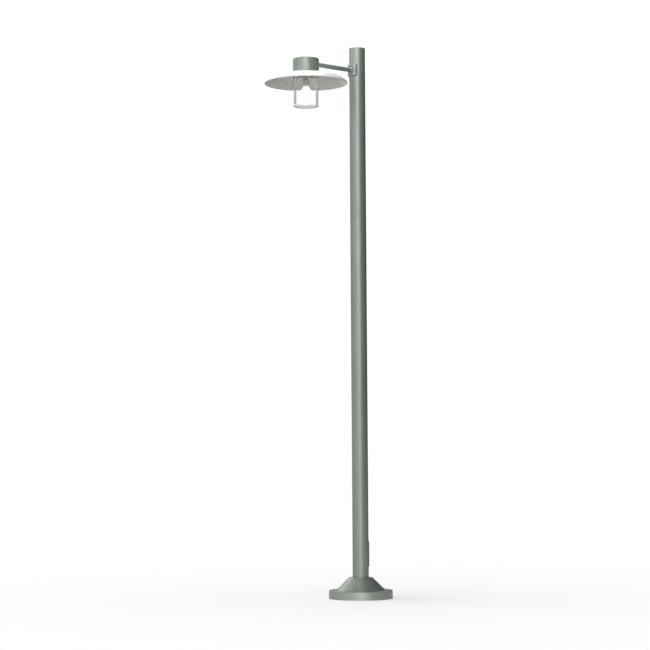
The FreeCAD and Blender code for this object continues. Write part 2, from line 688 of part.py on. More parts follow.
def make_shade_screws():
    screw = pan_screw(2.8, 1.8, 1.4, 18)
    places = [Vector(SHADE_SCREW_R * x, LAMP_Y + SHADE_SCREW_R * y, CLAMP_LOW_Z + 2.2)
              for x, y in lamp_angles(90)]
    return Part.makeCompound([placed(screw, place, DOWN) for place in places])


def make_glass_gasket():
    return ring(45.0, 38.8, GLASS_SHOULDER_Z, CLAMP_LOW_Z, LAMP_Y)


# ---- glass -------------------------------------------------------------------------------------------
def make_glass():
    inner_r = GLASS_R - GLASS_WALL
    neck_inner = GLASS_NECK_R - GLASS_NECK_WALL
    shoulder = GLASS_SHOULDER_Z - 0.3
    floor = GLASS_BOTTOM_Z + 5.0
    return turned([
        (0, GLASS_BOTTOM_Z), (GLASS_R, GLASS_BOTTOM_Z, 6.0), (GLASS_R, shoulder, 2.0),
        (GLASS_NECK_R, shoulder), (GLASS_NECK_R, GLASS_NECK_TOP_Z, 0.8), (neck_inner, GLASS_NECK_TOP_Z, 0.8),
        (neck_inner, shoulder - GLASS_WALL, 2.0), (inner_r, shoulder - GLASS_WALL - 2, 2.0),
        (inner_r, floor, 3.0), (0, floor)], LAMP_Y)


# ---- lampholder and lamp -------------------------------------------------------------------------------
NIPPLE_LOW = HOLDER_HIGH - 3.5


def make_holder_nipple():
    return ring(5.0, 3.4, NIPPLE_LOW, BRIDGE_Z + 8, LAMP_Y)


def make_nipple_nuts():
    places = (HOLDER_HIGH, BRIDGE_Z - 4, BRIDGE_Z + BRIDGE_T)
    return Part.makeCompound([nut(14.0, 5.0, 4.0).translated(Vector(0, LAMP_Y, z)) for z in places])


def make_holder_leads():
    return Part.makeCompound([upright(1.2, NIPPLE_LOW, CAP_TERMINAL_LOW, LAMP_Y, x) for x in (-1.7, 1.7)])


def make_holder_body():
    bore = 7.8
    body = turned([
        (bore, HOLDER_LOW), (HOLDER_R, HOLDER_LOW, 1.0), (HOLDER_R, HOLDER_HIGH - 4, 2.0),
        (8.5, HOLDER_HIGH, 1.5), (5.0, HOLDER_HIGH), (5.0, NIPPLE_LOW), (bore, NIPPLE_LOW)], LAMP_Y)
    for i in range(FLUTE_COUNT):
        place = heading(FLUTE_FIRST_DEG + 360.0 / FLUTE_COUNT * i) * (HOLDER_R + 0.5)
        body = body.cut(upright(FLUTE_R, HOLDER_LOW + 3, HOLDER_HIGH - 5, LAMP_Y + place.y, place.x))
    return body


def make_holder_shell():
    return ring(7.8, 7.15, HOLDER_LOW + 1, NIPPLE_LOW - 2, LAMP_Y)


def make_holder_contact():
    tongue = block(-2.0, 7.0, -2.0, 2.0, NIPPLE_LOW - 1.0, NIPPLE_LOW)
    return tongue.translated(Vector(0, LAMP_Y, 0))


BULB_TIP_Z = NIPPLE_LOW - 1.4


def bulb_outline(shrink):
    """Half outline of the lamp's globe, as edges from its lowest point up to its neck."""
    radius = BULB_R - shrink
    neck_r = 8.6 - shrink
    join = math.radians(48)
    bottom = Vector(0, 0, BULB_CENTRE_Z - radius)
    side = Vector(radius, 0, BULB_CENTRE_Z)
    shoulder = Vector(radius * math.sin(join), 0, BULB_CENTRE_Z + radius * math.cos(join))
    neck = Vector(neck_r, 0, BULB_NECK_Z)
    return [Part.Arc(bottom, side, shoulder), Part.LineSegment(shoulder, neck)]


def make_bulb_globe():
    skin = 0.9
    outer = bulb_outline(0.0)
    inner = bulb_outline(skin)
    edges = outer + inner
    edges.append(Part.LineSegment(Vector(8.6, 0, BULB_NECK_Z), Vector(8.6 - skin, 0, BULB_NECK_Z)))
    low = BULB_CENTRE_Z - BULB_R
    edges.append(Part.LineSegment(Vector(0, 0, low), Vector(0, 0, low + skin)))
    loop = Part.Wire(Part.__sortEdges__([edge.toShape() for edge in edges]))
    return Part.Face(loop).revolve(Vector(), UP, 360).translated(Vector(0, LAMP_Y, 0))


def make_bulb_base():
    top = BULB_TIP_Z - 4.5
    return turned([(0, BULB_NECK_Z), (7.6, BULB_NECK_Z), (6.75, BULB_NECK_Z + 3.2), (6.75, top - 1.5),
                   (5.4, top), (0, top)], LAMP_Y)


def make_bulb_insulator():
    top = BULB_TIP_Z - 4.5
    return turned([(0, top), (5.2, top), (3.0, top + 3.0), (0, top + 3.0)], LAMP_Y)


def make_bulb_tip():
    return turned([(0, BULB_TIP_Z - 1.5), (2.4, BULB_TIP_Z - 1.5), (2.4, BULB_TIP_Z, 0.8), (0, BULB_TIP_Z)],
                  LAMP_Y)


def make_bulb_emitter():
    stem = turned([(0, BULB_CENTRE_Z), (3.2, BULB_CENTRE_Z), (3.2, BULB_NECK_Z - 8), (7.0, BULB_NECK_Z),
                   (0, BULB_NECK_Z)], LAMP_Y)
    return stem


# ---- export ------------------------------------------------------------------------------------------
export("base_plate", make_base_plate())
export("base_weld", make_base_weld())
export("post_tube", make_post_tube())
export("post_top_plug", make_post_plug())
export("base_cover", make_base_cover())
export("cover_seal", make_cover_seal())
export("cover_set_screws", make_cover_set_screws())
export("door", make_door())
export("door_gasket", make_door_gasket())
export("door_lugs", make_door_lugs())
export("door_screw_lower", make_door_screw(DOOR_SCREW_HEIGHTS[0]))
export("door_screw_upper", make_door_screw(DOOR_SCREW_HEIGHTS[1]))
export("terminal_carrier", make_terminal_carrier())
export("terminal_box", make_terminal_box())
export("terminal_cover", make_terminal_cover())
export("terminal_cover_screws", make_terminal_cover_screws())
export("terminal_block", make_terminal_block())
export("terminal_clamps", make_terminal_clamps())
export("fuse_base", make_fuse_base())
export("fuse_cap", make_fuse_cap())
export("fuse_link", make_fuse_link())
export("earth_stud", make_earth_stud())
export("earth_nuts", make_earth_nuts())
export("supply_gland", make_supply_gland())
export("head_gland", make_head_gland())
export("head_cable", make_head_cable())
export("arm_bracket", make_arm_bracket())
export("bracket_pad", make_bracket_pad())
export("bracket_screws", make_bracket_screws())
export("rivet_nuts", make_rivet_nuts())
export("arm_tube", make_arm_tube())
export("arm_weld", make_arm_weld())
export("arm_grommet", make_arm_grommet())
export("arm_washer", make_arm_washer())
export("arm_nut", make_arm_nut())
export("lamp_cap", make_lamp_cap())
export("cap_gasket", make_cap_gasket())
export("cap_terminal", make_cap_terminal())
export("cap_terminal_clamps", make_cap_terminal_clamps())
export("holder_bridge", make_holder_bridge())
export("bridge_screws", make_bridge_screws())
export("shade", make_shade())
export("shade_clamp_ring", make_clamp_ring())
export("shade_screws", make_shade_screws())
export("glass_gasket", make_glass_gasket())
export("glass", make_glass())
export("holder_nipple", make_holder_nipple())
export("nipple_nuts", make_nipple_nuts())
export("holder_leads", make_holder_leads())
export("holder_body", make_holder_body())
export("holder_shell", make_holder_shell())
export("holder_contact", make_holder_contact())
export("bulb_globe", make_bulb_globe())
export("bulb_base", make_bulb_base())
export("bulb_insulator", make_bulb_insulator())
export("bulb_tip", make_bulb_tip())
export("bulb_emitter", make_bulb_emitter())
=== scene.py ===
"""Street lamp post: finishes, finer meshes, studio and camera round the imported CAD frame.

Metres, in the frame of the CAD: the origin is on the post's axis at ground level, +Z is up, the
arm points along -Y and the service door faces +Y.
"""

import math

import bpy
from mathutils import Matrix, Vector


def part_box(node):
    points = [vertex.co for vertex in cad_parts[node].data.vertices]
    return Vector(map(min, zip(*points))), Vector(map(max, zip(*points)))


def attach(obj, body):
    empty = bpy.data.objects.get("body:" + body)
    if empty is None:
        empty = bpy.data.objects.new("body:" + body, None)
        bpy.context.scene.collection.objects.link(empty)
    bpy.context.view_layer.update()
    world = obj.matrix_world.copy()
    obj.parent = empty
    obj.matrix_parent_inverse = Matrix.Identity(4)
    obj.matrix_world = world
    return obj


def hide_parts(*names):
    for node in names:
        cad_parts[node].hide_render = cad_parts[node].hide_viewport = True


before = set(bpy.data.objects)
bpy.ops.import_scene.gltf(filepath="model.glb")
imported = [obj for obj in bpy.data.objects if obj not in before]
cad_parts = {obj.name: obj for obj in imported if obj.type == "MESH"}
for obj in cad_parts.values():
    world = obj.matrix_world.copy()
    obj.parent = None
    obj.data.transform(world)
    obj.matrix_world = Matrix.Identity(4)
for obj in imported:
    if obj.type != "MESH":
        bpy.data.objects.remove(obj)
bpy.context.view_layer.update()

MM = 0.001
UP = Vector((0, 0, 1))


# ---- node helpers --------------------------------------------------------------------------------
def new_finish(name, **settings):
    """Material whose settings go straight on the Principled shader's sockets, and its shader."""
    material = bpy.data.materials.new(name)
    material.use_nodes = True
    shader = material.node_tree.nodes["Principled BSDF"]
    for words, value in settings.items():
        shader.inputs[words.replace("_", " ")].default_value = value
    return material, shader


def node(tree, kind, inputs=(), **attributes):
    """New node with attributes, and inputs given as values or as sockets to link from."""
    made = tree.nodes.new("ShaderNode" + kind)
    for key, value in attributes.items():
        setattr(made, key, value)
    for key, value in dict(inputs).items():
        if isinstance(value, bpy.types.NodeSocket):
            tree.links.new(value, made.inputs[key])
        else:
            made.inputs[key].default_value = value
    return made


def calculate(tree, operation, *values, clamp=False):
    """Result of arithmetic on numbers."""
    return node(tree, "Math", enumerate(values), operation=operation, use_clamp=clamp).outputs[0]


def calculate_vector(tree, operation, *values):
    """Result of arithmetic on vectors: a number for a length or a dot product, else a vector."""
    made = node(tree, "VectorMath", enumerate(values), operation=operation)
    return made.outputs["Value" if operation in ("DOT_PRODUCT", "LENGTH") else "Vector"]


def place(tree, stretch=(1, 1, 1)):
    """Object coordinates in metres, stretched."""
    coordinates = node(tree, "TexCoord").outputs["Object"]
    return node(tree, "Mapping", {"Vector": coordinates, "Scale": stretch}).outputs[0]


def height_of(tree):
    """Height over the ground, in metres."""
    return node(tree, "SeparateXYZ", {0: place(tree)}).outputs["Z"]


def noise(tree, size, detail=2.0, stretch=(1, 1, 1)):
    """Noise from 0 to 1 whose lumps are about this size in metres."""
    inputs = {"Vector": place(tree, stretch), "Scale": 1 / size, "Detail": detail}
    return node(tree, "TexNoise", inputs, noise_dimensions="3D").outputs["Fac"]


def spread(tree, value, low, high, from_low=0.3, from_high=0.7):
    """Value moved from one range, by default where most of a noise lies, to another, and kept inside it."""
    inputs = {"Value": value, "From Min": from_low, "From Max": from_high, "To Min": low, "To Max": high}
    return node(tree, "MapRange", inputs).outputs[0]


def blend(tree, factor, first, second, how="MIX"):
    """Mix of two colours."""
    mixed = node(tree, "Mix", data_type="RGBA", blend_type=how)
    for socket, value in ((mixed.inputs[0], factor), (mixed.inputs[6], first), (mixed.inputs[7], second)):
        if isinstance(value, bpy.types.NodeSocket):
            tree.links.new(value, socket)
        else:
            socket.default_value = value
    return mixed.outputs[2]


def relief(tree, layers):
    """Bump from (height, depth in metres) layers, one on another."""
    normal = None
    for height, depth in layers:
        inputs = {"Height": height, "Distance": depth, "Strength": 1.0}
        if normal:
            inputs["Normal"] = normal
        normal = node(tree, "Bump", inputs).outputs[0]
    return normal


def dress(material, shader, colour=None, roughness=None, normal=None):
    """Links what is given to the shader."""
    for key, socket in (("Base Color", colour), ("Roughness", roughness), ("Normal", normal)):
        if socket:
            material.node_tree.links.new(socket, shader.inputs[key])
    return material


def tint(red, green, blue):
    return (red, green, blue, 1.0)


def shaded(colour, factor):
    """Colour made darker or lighter."""
    return tint(*[channel * factor for channel in colour[:3]])


def darkened(tree, colour, factor):
    """Colour from a socket, made darker."""
    return blend(tree, 1.0, colour, tint(factor, factor, factor), "MULTIPLY")


# ---- finishes, each named after its slot ---------------------------------------------------------
PAINT = tint(0.330, 0.363, 0.330)
ENAMEL = tint(0.89, 0.89, 0.875)
LAMP_GLOW = 3.2
LAMP_GLOW_AT_NECK = 0.55 * LAMP_GLOW
GROUND_ROUGHNESS = 0.32
SANDBLASTED_CLEARNESS = 0.4


def painted(name, colour, roughness, peel, flake):
    """Baked powder paint: orange peel, fine grain and a slight unevenness of colour."""
    material, shader = new_finish(name, IOR=1.5, Metallic=flake)
    tree = material.node_tree
    patches = spread(tree, noise(tree, 0.11, 3.0), 0.0, 1.0)
    colour_now = blend(tree, patches, shaded(colour, 0.95), shaded(colour, 1.05))
    grain = spread(tree, noise(tree, 0.0013, 1.0), 0.0, 1.0)
    colour_now = blend(tree, grain, darkened(tree, colour_now, 0.97), colour_now)
    rough = spread(tree, noise(tree, 0.03, 3.0), roughness - 0.04, roughness + 0.05)
    bumps = relief(tree, [(noise(tree, 0.0022, 2.0), peel), (noise(tree, 0.0005, 1.0), peel * 0.25)])
    return dress(material, shader, colour_now, rough, bumps)


def powder_coat():
    return painted("satin_powder_coat", PAINT, roughness=0.38, peel=0.00006, flake=0.35)


def white_enamel():
    return painted("satin_white_enamel", ENAMEL, roughness=0.36, peel=0.00005, flake=0.0)


def galvanised_steel():
    """Hot-dip zinc: crystals a few millimetres wide that differ in tone and gloss."""
    material, shader = new_finish("hot_dip_zinc", Metallic=1.0)
    tree = material.node_tree
    crystals = node(tree, "TexVoronoi", {"Vector": place(tree), "Scale": 170.0}).outputs["Color"]
    tone = node(tree, "SeparateColor", {"Color": crystals}).outputs[0]
    bloom = spread(tree, noise(tree, 0.03, 4.0), 0.0, 1.0)
    dull_to_bright = spread(tree, tone, 0.0, 1.0, 0.0, 1.0)
    zinc = blend(tree, dull_to_bright, tint(0.42, 0.44, 0.45), tint(0.62, 0.63, 0.64))
    zinc = blend(tree, bloom, zinc, tint(0.52, 0.53, 0.53))
    rough = spread(tree, tone, 0.38, 0.62, 0.0, 1.0)
    return dress(material, shader, zinc, rough, relief(tree, [(noise(tree, 0.004, 3.0), 0.00008)]))


def turned_metal(name, colour, dull_colour, dull, roughness):
    """Machined metal with fine marks, and patches that are up to this much of the dull colour."""
    material, shader = new_finish(name, Metallic=1.0)
    tree = material.node_tree
    marks = noise(tree, 0.0006, 2.0, (1, 1, 6))
    patches = spread(tree, noise(tree, 0.006, 4.0), 0.0, dull)
    colour_now = blend(tree, patches, colour, dull_colour)
    rough = spread(tree, marks, roughness - 0.06, roughness + 0.10)
    return dress(material, shader, colour_now, rough, relief(tree, [(marks, 0.00001)]))


def stainless():
    return turned_metal(
        "stainless_steel", tint(0.62, 0.61, 0.59), tint(0.45, 0.44, 0.42), dull=0.35, roughness=0.28)


def brass():
    return turned_metal(
        "turned_brass", tint(0.66, 0.49, 0.22), tint(0.42, 0.30, 0.14), dull=0.6, roughness=0.30)


def lamp_cap_metal():
    return turned_metal(
        "nickel_plate", tint(0.66, 0.64, 0.60), tint(0.50, 0.47, 0.42), dull=0.3, roughness=0.22)


def holder_metal():
    """Aged brass: olive brown patina in the flutes, rubbed bright on their lands and on the stem."""
    flute_depth = 1.2 * MM
    land_depth = 0.1 * MM
    edge_fade = 0.4 * MM
    stem_brightness = 0.8
    material, shader = new_finish("aged_brass", Metallic=0.6)
    tree = material.node_tree
    low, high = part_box("holder_body")
    outer = (high.x - low.x) / 2
    offset = calculate_vector(tree, "SUBTRACT", place(tree), (low + high) / 2)
    level = calculate_vector(tree, "MULTIPLY", offset, (1, 1, 0))
    radius = calculate_vector(tree, "LENGTH", level)
    lands = spread(tree, radius, 0.0, 1.0, outer - flute_depth, outer - land_depth)
    stem = spread(tree, height_of(tree), 0.0, stem_brightness, high.z - edge_fade, high.z + edge_fade)
    rubbed = calculate(tree, "MAXIMUM", lands, stem)
    patina = blend(tree, rubbed, tint(0.24, 0.23, 0.17), tint(0.84, 0.81, 0.71))
    stains = spread(tree, noise(tree, 0.003, 4.0), 0.0, 0.3)
    patina = blend(tree, stains, patina, tint(0.60, 0.57, 0.46))
    rough = spread(tree, noise(tree, 0.002, 3.0), 0.34, 0.52)
    return dress(material, shader, patina, rough, relief(tree, [(noise(tree, 0.0012, 3.0), 0.00003)]))


def moulded(name, colour, roughness, grain, specular=0.5):
    """Plastic or rubber out of a mould: fine eroded grain and slight flow patches."""
    material, shader = new_finish(name, Specular_IOR_Level=specular)
    tree = material.node_tree
    patches = spread(tree, noise(tree, 0.02, 2.0), 0.0, 1.0)
    colour_now = blend(tree, patches, shaded(colour, 0.9), shaded(colour, 1.08))
    rough = spread(tree, noise(tree, 0.004, 2.0), roughness - 0.05, roughness + 0.06)
    return dress(material, shader, colour_now, rough, relief(tree, [(noise(tree, 0.0007, 2.0), grain)]))


def black_rubber():
    return moulded("black_rubber", tint(0.022, 0.022, 0.023), roughness=0.72, grain=0.00005, specular=0.3)


def grey_rubber():
    return moulded("grey_silicone", tint(0.58, 0.58, 0.56), roughness=0.60, grain=0.00004, specular=0.4)


def black_plastic():
    return moulded("black_plastic", tint(0.028, 0.028, 0.030), roughness=0.46, grain=0.00003)


def grey_plastic():
    return moulded("grey_plastic", tint(0.36, 0.37, 0.38), roughness=0.44, grain=0.00003)


def natural_plastic():
    return moulded("natural_polyamide", tint(0.66, 0.62, 0.50), roughness=0.42, grain=0.00002)


def cable_sheath():
    return moulded("cable_sheath", tint(0.030, 0.030, 0.032), roughness=0.55, grain=0.00004)


def lead_insulation():
    return moulded("silicone_lead", tint(0.56, 0.49, 0.38), roughness=0.50, grain=0.00002)


def white_ceramic():
    """Glazed steatite: smooth, a little mottled."""
    material, shader = new_finish("glazed_steatite", Coat_Weight=0.4, Coat_Roughness=0.08)
    tree = material.node_tree
    specks = spread(tree, noise(tree, 0.0012, 4.0), 0.0, 1.0, 0.55, 0.75)
    colour_now = blend(tree, specks, tint(0.74, 0.71, 0.63), tint(0.62, 0.57, 0.48))
    rough = spread(tree, noise(tree, 0.003, 2.0), 0.22, 0.34)
    return dress(material, shader, colour_now, rough, relief(tree, [(noise(tree, 0.004, 2.0), 0.00003)]))


def clear_glass():
    """Thick pressed glass with faint ripples, a ground foot and a sandblasted neck.

    Light from the lamps passes straight through it.
    """
    material, shader = new_finish("clear_pressed_glass", Transmission_Weight=1.0, IOR=1.5)
    tree = material.node_tree
    foot_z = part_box("glass")[0].z
    shoulder_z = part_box("glass_gasket")[0].z
    height = height_of(tree)
    ground_foot = spread(tree, height, GROUND_ROUGHNESS, 0.0, foot_z + 0.3 * MM, foot_z + 1.2 * MM)
    neck_low, neck_high = shoulder_z - 1.0 * MM, shoulder_z + 0.5 * MM
    clearness = spread(tree, height, 1.0, SANDBLASTED_CLEARNESS, neck_low, neck_high)
    tree.links.new(clearness, shader.inputs["Transmission Weight"])
    colour_now = blend(tree, noise(tree, 0.05), tint(0.94, 0.945, 0.94), tint(0.965, 0.97, 0.965))
    polish = spread(tree, noise(tree, 0.02, 2.0), 0.0, 0.015)
    rough = calculate(tree, "MAXIMUM", polish, ground_foot)
    dress(material, shader, colour_now, rough, relief(tree, [(noise(tree, 0.03, 0.0), 0.00002)]))
    shadow = node(tree, "LightPath").outputs["Is Shadow Ray"]
    through = node(tree, "BsdfTransparent", {"Color": tint(0.93, 0.94, 0.935)}).outputs[0]
    mixed = node(tree, "MixShader", {0: shadow, 1: shader.outputs[0], 2: through}).outputs[0]
    tree.links.new(mixed, tree.nodes["Material Output"].inputs["Surface"])
    return material


def lamp_glass():
    """Opal glass of a lamp that is lit, a little dimmer towards its neck."""
    neck_length = 16 * MM
    material, shader = new_finish("lit_opal_glass", Emission_Color=tint(1.0, 0.91, 0.78), Coat_Weight=0.3)
    tree = material.node_tree
    top_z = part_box("bulb_globe")[1].z
    glow = spread(tree, height_of(tree), LAMP_GLOW, LAMP_GLOW_AT_NECK, top_z - neck_length, top_z)
    tree.links.new(glow, shader.inputs["Emission Strength"])
    colour_now = blend(tree, noise(tree, 0.012), tint(0.86, 0.84, 0.79), tint(0.90, 0.88, 0.84))
    rough = spread(tree, noise(tree, 0.008, 2.0), 0.28, 0.36)
    return dress(material, shader, colour_now, rough, relief(tree, [(noise(tree, 0.002, 2.0), 0.00001)]))


FINISHES = (
    powder_coat, white_enamel, galvanised_steel, stainless, black_rubber, grey_rubber, black_plastic,
    grey_plastic, natural_plastic, white_ceramic, brass, holder_metal, cable_sheath, lead_insulation,
    clear_glass, lamp_glass, lamp_cap_metal)
finishes = {make.__name__: make() for make in FINISHES}


def finish_cad_nodes():
    """Each CAD node gets the finish of its own material slot."""
    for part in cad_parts.values():
        for i, slot in enumerate(part.data.materials):
            part.data.materials[i] = finishes[slot.name]


# ---- mesh helpers --------------------------------------------------------------------------------
ARC_STEPS = 7
ON_AXIS = 1e-7


def polar(radius, angle):
    """Point in a plane."""
    return Vector((math.cos(angle), math.sin(angle))) * radius


def rounded(corners):
    """Closed outline of (radius, height, rounding) corners, with each rounding as an arc."""
    points = []
    for i, corner in enumerate(corners):
        here = Vector(corner[:2])
        rounding = corner[2] if len(corner) > 2 else 0.0
        if rounding == 0.0:
            points.append(here)
            continue
        back = (Vector(corners[i - 1][:2]) - here).normalized()
        ahead = (Vector(corners[(i + 1) % len(corners)][:2]) - here).normalized()
        half = back.angle(ahead) / 2
        centre = here + (back + ahead).normalized() * (rounding / math.sin(half))
        spoke = here + back * (rounding / math.tan(half)) - centre
        side = 1 if back.cross(ahead) < 0 else -1
        turn = side * (math.pi - 2 * half)
        points += [centre + Matrix.Rotation(turn * k / ARC_STEPS, 2) @ spoke for k in range(ARC_STEPS + 1)]
    return points


def mesh_piece(name, vertices, faces, material, sharp_degrees=35.0):
    """Smooth-shaded object in the scene from vertices and faces."""
    mesh = bpy.data.meshes.new(name)
    mesh.from_pydata([tuple(v) for v in vertices], [], faces)
    mesh.materials.append(material)
    mesh.validate()
    mesh.shade_smooth()
    mesh.set_sharp_from_angle(angle=math.radians(sharp_degrees))
    piece = bpy.data.objects.new(name, mesh)
    bpy.context.scene.collection.objects.link(piece)
    return piece


def lathe(name, outline, centre, material, segments):
    """Closed outline turned about a vertical axis."""
    vertices = []
    rows = []
    for radius, height in outline:
        middle = Vector((centre.x, centre.y, height))
        if radius < ON_AXIS:
            rows.append([len(vertices)] * segments)
            vertices.append(middle)
            continue
        rows.append(list(range(len(vertices), len(vertices) + segments)))
        for k in range(segments):
            vertices.append(middle + polar(radius, 2 * math.pi * k / segments).to_3d())
    faces = []
    for i, first in enumerate(rows):
        second = rows[(i + 1) % len(rows)]
        for k in range(segments):
            after = (k + 1) % segments
            corners = list(dict.fromkeys([first[k], first[after], second[after], second[k]]))
            if len(corners) > 2:
                faces.append(corners)
    return mesh_piece(name, vertices, faces, material)


def stands_for(piece, node_name, body):
    """The piece replaces a CAD node, which is hidden, and rides on its body."""
    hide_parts(node_name)
    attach(piece, body)


def centre_of(name):
    low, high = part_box(name)
    return (low + high) / 2


def radius_of(name):
    """Radius of a round node, from its width across the arm."""
    low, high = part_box(name)
    return (high.x - low.x) / 2


# ---- lantern -------------------------------------------------------------------------------------
def make_shade():
    """Spun dish: flat land, shallow roof, round bend and a rolled rim."""
    sheet = 2 * MM
    hole_r = 39.5 * MM
    land_r = 52 * MM
    crease = 1.5 * MM
    bend_r = 59 * MM
    bend_steps = 28
    bead_r = 1.6 * MM
    bead_step_degrees = 18
    bead_steps = 14
    roof = math.radians(6.0)
    low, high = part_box("shade")
    rim_z, top_z = low.z, high.z

    # The bend's centre is one bend radius under the roof's line, so the roof runs into the bend
    # without a corner, and as far out as brings the bend's end to the rim.
    along = Vector((math.cos(roof), -math.sin(roof)))
    outward = Vector((math.sin(roof), math.cos(roof)))
    land = Vector((land_r, top_z))
    level = land - outward * bend_r
    to_rim = Vector((radius_of("shade"), rim_z)) - level
    reach = to_rim.dot(along)
    offset_squared = to_rim.length_squared - reach ** 2
    bend = level + along * (reach - math.sqrt(bend_r ** 2 - offset_squared))

    start = math.pi / 2 - roof
    end = math.asin((rim_z + bead_r - bend.y) / bend_r)
    sweep = [start + (end - start) * k / bend_steps for k in range(bend_steps + 1)]
    outside = [Vector((hole_r, top_z)), land - Vector((crease, 0)), land + along * crease]
    outside += [bend + polar(bend_r, angle) for angle in sweep]
    bead_centre = bend + polar(bend_r - bead_r, end)
    turns = [math.radians(bead_step_degrees * k) for k in range(1, bead_steps + 1)]
    bead = [bead_centre + polar(bead_r, end - turn) for turn in turns]

    # Under the sheet the crease is a little nearer the middle, because the roof slopes.
    inside = [bend + polar(bend_r - sheet, angle) for angle in reversed(sweep[:-1])]
    under = Vector((land_r - 0.2 * MM, top_z - sheet))
    inside += [under + Vector((crease, -0.1 * MM)), under - Vector((crease, 0)), Vector((hole_r, under.y))]
    outline = outside + bead + inside
    piece = lathe("shade_dish", outline, centre_of("shade"), finishes["white_enamel"], segments=256)
    stands_for(piece, "shade", "post")


def make_glass():
    """Pressed jar: thick wall, rounded foot that stands on its edge, shoulder and neck."""
    low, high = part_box("glass")
    outer = radius_of("glass")
    inner = outer - 6.5 * MM
    neck = 38 * MM
    neck_inner = 34 * MM
    foot, top = low.z, high.z
    hollow_foot = foot + 0.2 * MM
    floor = foot + 4.0 * MM
    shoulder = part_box("glass_gasket")[0].z - 0.3 * MM
    outline = rounded([
        (0, hollow_foot), (0.6 * outer, hollow_foot, 4 * MM), (0.8 * outer, foot, 4 * MM),
        (outer, foot, 5 * MM), (outer, shoulder, 1.5 * MM), (neck, shoulder, 0.5 * MM),
        (neck, top, 0.8 * MM), (neck_inner, top, 0.8 * MM), (neck_inner, shoulder - 4.5 * MM, 2 * MM),
        (inner, shoulder - 6.5 * MM, 4 * MM), (inner, floor, 3.5 * MM), (0.75 * inner, floor, 3 * MM),
        (0, floor - 0.3 * MM)])
    piece = lathe("glass_jar", outline, centre_of("glass"), finishes["clear_glass"], segments=192)
    stands_for(piece, "glass", "glass")


# ---- welds ---------------------------------------------------------------------------------------
WELD_ROOT = 0.2 * MM
WELD_FACE_STEPS = 9
WELD_FLATTENED = 0.14
RIPPLE_HEIGHT = 0.07
RIPPLE_STEPS = 8
UNEVENNESS = 0.05


def weld_section(radius, size):
    """(radius, height) points of a bead's section: a root inside the metal and a convex face."""
    points = [(radius - WELD_ROOT, -WELD_ROOT), (radius - WELD_ROOT, size)]
    for k in range(WELD_FACE_STEPS + 1):
        lean = math.pi / 2 * k / WELD_FACE_STEPS
        bulge = 1 - WELD_FLATTENED + WELD_FLATTENED * math.sin(2 * lean)
        points.append((radius + size * math.sin(lean) * bulge, size * math.cos(lean) * bulge))
    return points + [(radius + size, -WELD_ROOT)]


def weld_bead(node_name, slot, base, direction, radius, size, ripples):
    """Bead round a tube on a flat face, with ripples and a slow unevenness of its size."""
    segments = ripples * RIPPLE_STEPS
    turn = Vector(direction).to_track_quat("Z", "Y").to_matrix()
    vertices = []
    for k in range(segments):
        angle = 2 * math.pi * k / segments
        ripple = RIPPLE_HEIGHT * abs(math.sin(angle * ripples / 2))
        wave = 1 + ripple + UNEVENNESS * math.sin(3 * angle + 1)
        section = weld_section(radius, size * wave)
        vertices += [base + turn @ Vector((*polar(out, angle), height)) for out, height in section]
    count = len(section)
    faces = []
    for k in range(segments):
        here, after = k * count, (k + 1) % segments * count
        for j in range(count):
            up = (j + 1) % count
            faces.append([here + j, after + j, after + up, here + up])
    piece = mesh_piece(node_name + "_bead", vertices, faces, finishes[slot], sharp_degrees=60.0)
    stands_for(piece, node_name, "post")


def make_welds():
    arm = centre_of("arm_weld")
    bracket_face = Vector((arm.x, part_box("arm_weld")[1].y, arm.z))
    weld_bead("arm_weld", "powder_coat", bracket_face, (0, -1, 0), radius_of("arm_tube"),
              size=3 * MM, ripples=26)
    plate_top = Vector((0, 0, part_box("base_weld")[0].z))
    weld_bead("base_weld", "galvanised_steel", plate_top, (0, 0, 1), radius_of("post_tube"),
              size=5 * MM, ripples=60)


# ---- camera --------------------------------------------------------------------------------------
CAMERA_AZIMUTH = 50.0
CAMERA_DISTANCE = 7.47
CAMERA_SIDESTEP = 0.127
CAMERA_HEIGHT = 0.547
CAMERA_PITCH = 3.6
CAMERA_ROLL = 0.35
CAMERA_LENS = 110.8


def compass(azimuth, elevation=0.0):
    """Direction from the post at an azimuth from the arm and an elevation, in degrees."""
    a, e = math.radians(azimuth), math.radians(elevation)
    return Vector((math.sin(a) * math.cos(e), -math.cos(a) * math.cos(e), math.sin(e)))


AHEAD = -compass(CAMERA_AZIMUTH)
RIGHTWARDS = compass(CAMERA_AZIMUTH + 90)


def make_camera():
    data = bpy.data.cameras.new("camera")
    camera = bpy.data.objects.new("camera", data)
    bpy.context.scene.collection.objects.link(camera)
    right = AHEAD.cross(UP)
    camera.location = -AHEAD * CAMERA_DISTANCE - right * CAMERA_SIDESTEP + UP * CAMERA_HEIGHT
    pitch, roll = math.radians(CAMERA_PITCH), math.radians(CAMERA_ROLL)
    look = AHEAD * math.cos(pitch) + UP * math.sin(pitch)
    top = right.cross(look)
    leaned_top = top * math.cos(roll) + right * math.sin(roll)
    leaned_right = right * math.cos(roll) - top * math.sin(roll)
    camera.rotation_mode = "QUATERNION"
    camera.rotation_quaternion = Matrix((leaned_right, leaned_top, -look)).transposed().to_quaternion()
    data.lens = CAMERA_LENS
    data.clip_end = 200.0
    bpy.context.scene.camera = camera


